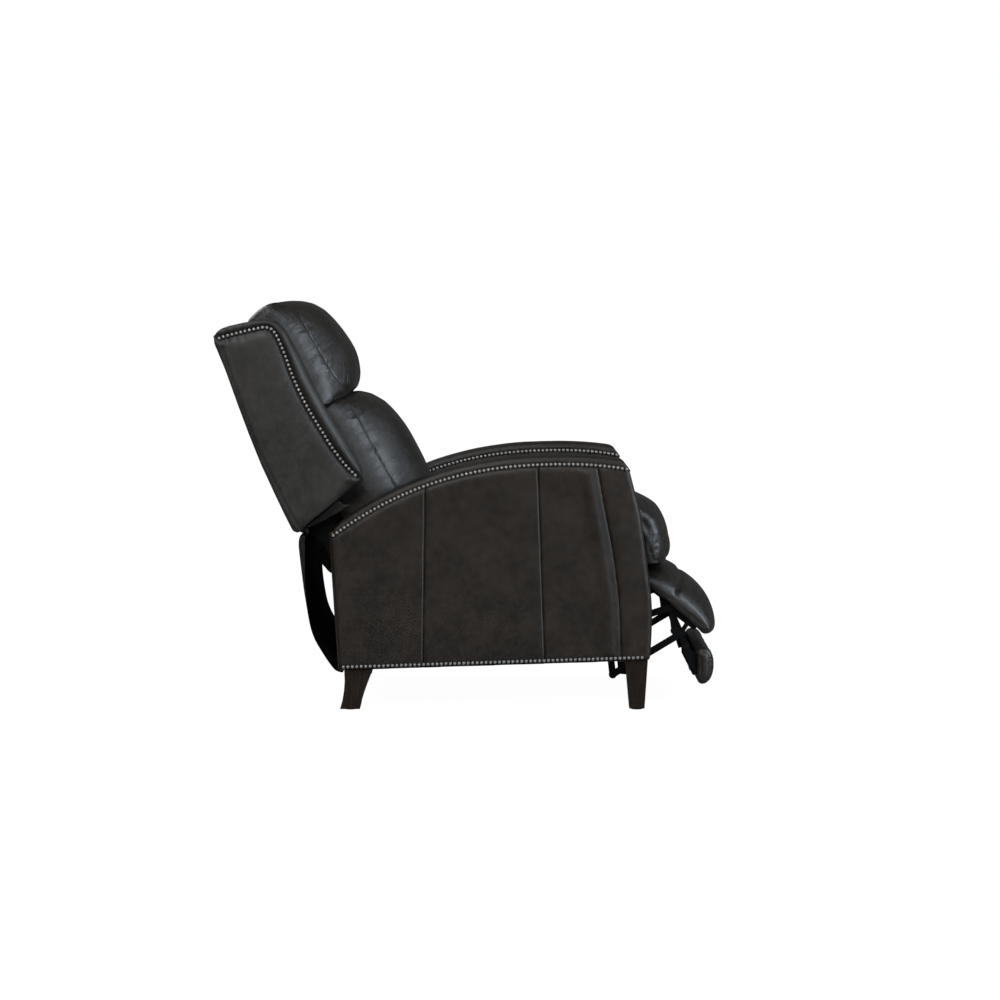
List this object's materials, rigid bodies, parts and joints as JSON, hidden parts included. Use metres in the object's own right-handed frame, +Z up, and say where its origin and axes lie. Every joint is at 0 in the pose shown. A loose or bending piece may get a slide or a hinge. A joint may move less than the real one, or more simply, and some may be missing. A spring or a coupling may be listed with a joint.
{
  "type": "recliner armchair",
  "caption": "Push-back recliner armchair with padded arms, a winged back, nail-head trim and a linked folding footrest.",
  "frame": {"origin": "on the floor, under the middle of the chair's outline as it stands part-reclined", "axes": "+Z up; -Y is the front, where the footrest is; +X is the sitter's left"},
  "size_m": [0.76, 1.2879, 1.0289],
  "materials": {
    "leather": "semi-gloss, lightly grained",
    "timber": "sawn, unfinished",
    "dark_wood": "dark stain, satin",
    "nail_metal": "aged pewter",
    "webbing": "woven",
    "glide_plastic": "matte",
    "steel": "black powder coat"
  },
  "bodies": {
    "base": {"arm_frame_left": "timber", "arm_frame_right": "timber", "arm_outer_panel_left": "leather", "arm_outer_panel_right": "leather", "arm_inner_panel_left": "leather", "arm_inner_panel_right": "leather", "arm_top_roll_left": "leather", "arm_top_roll_right": "leather", "arm_front_pad_left": "leather", "arm_front_pad_right": "leather", "arm_nails_left": "nail_metal", "arm_nails_right": "nail_metal", "cross_rail": "timber", "rear_rail": "timber", "corner_blocks": "timber", "leg_front_left": "dark_wood", "leg_front_right": "dark_wood", "leg_rear_left": "dark_wood", "leg_rear_right": "dark_wood", "leg_bolts": "steel", "floor_glides": "glide_plastic", "side_rail_left": "steel", "side_rail_right": "steel", "rear_flap": "leather"},
    "front_carrier": {"front_carrier_left": "steel", "front_carrier_right": "steel"},
    "seat": {"seat_plate_left": "steel", "seat_plate_right": "steel", "seat_frame": "timber", "seat_webbing": "webbing", "seat_cushion": "leather"},
    "back": {"back_frame": "timber", "outside_back": "leather", "wing_left": "leather", "wing_right": "leather", "wing_nails_left": "nail_metal", "wing_nails_right": "nail_metal", "back_webbing": "webbing", "headrest_cushion": "leather", "lumbar_cushion": "leather", "back_hinge_left": "steel", "back_hinge_right": "steel"},
    "drive_link": {"drive_links": "steel", "drive_tube": "steel"},
    "idler_link": {"idler_links": "steel"},
    "upper_link": {"upper_links": "steel"},
    "lower_link": {"lower_links": "steel"},
    "front_link": {"front_links": "steel"},
    "footrest": {"footrest_brackets": "steel", "footrest_board": "timber", "footrest_pad": "leather"},
    "flipper": {"flipper_brackets": "steel", "flipper_board": "timber", "flipper_pad": "leather"}
  },
  "joints": [
    {"name": "back_recline", "type": "hinge", "parent": "base", "child": "back", "pos_m": [0, 0.29213, 0.285], "axis": [-1, 0, 0], "range_deg": [-12, 9]},
    {"name": "carrier_swing", "type": "hinge", "parent": "base", "child": "front_carrier", "pos_m": [0, -0.32087, 0.285], "axis": [-1, 0, 0], "range_deg": [-12.5, 9.5]},
    {"name": "seat_level", "type": "hinge", "parent": "front_carrier", "child": "seat", "pos_m": [0, -0.32087, 0.14], "axis": [-1, 0, 0], "range_deg": [-9.5, 12.5]},
    {"name": "drive_swing", "type": "hinge", "parent": "seat", "child": "drive_link", "pos_m": [0, -0.33487, 0.378], "axis": [-1, 0, 0], "range_deg": [-45.26, 34.07]},
    {"name": "idler_swing", "type": "hinge", "parent": "seat", "child": "idler_link", "pos_m": [0, -0.25287, 0.376], "axis": [-1, 0, 0], "range_deg": [-47.3, 35.6]},
    {"name": "upper_swing", "type": "hinge", "parent": "idler_link", "child": "upper_link", "pos_m": [0, -0.28987, 0.174], "axis": [-1, 0, 0], "range_deg": [-28.67, 38.06]},
    {"name": "lower_swing", "type": "hinge", "parent": "drive_link", "child": "lower_link", "pos_m": [0, -0.37087, 0.076], "axis": [-1, 0, 0], "range_deg": [-21.65, 28.7]},
    {"name": "front_swing", "type": "hinge", "parent": "upper_link", "child": "front_link", "pos_m": [0, -0.51987, 0.248], "axis": [-1, 0, 0], "range_deg": [-39.02, 29.39]},
    {"name": "footrest_turn", "type": "hinge", "parent": "lower_link", "child": "footrest", "pos_m": [0, -0.54687, 0.182], "axis": [-1, 0, 0], "range_deg": [-37.44, 28.2]},
    {"name": "flipper_turn", "type": "hinge", "parent": "footrest", "child": "flipper", "pos_m": [0, -0.55687, 0.15], "axis": [-1, 0, 0], "range_deg": [-48.5, 36.5]}
  ],
  "couplings": [
    {"joint": "carrier_swing", "follows": "back_recline", "ratio": 1},
    {"joint": "seat_level", "follows": "back_recline", "ratio": -1},
    {"joint": "drive_swing", "follows": "back_recline", "ratio": 3.73},
    {"joint": "idler_swing", "follows": "back_recline", "ratio": 3.9},
    {"joint": "upper_swing", "follows": "back_recline", "ratio": -3.13},
    {"joint": "lower_swing", "follows": "back_recline", "ratio": -2.35},
    {"joint": "front_swing", "follows": "back_recline", "ratio": 3.21},
    {"joint": "footrest_turn", "follows": "back_recline", "ratio": 3.078},
    {"joint": "flipper_turn", "follows": "back_recline", "ratio": 4}
  ]
}
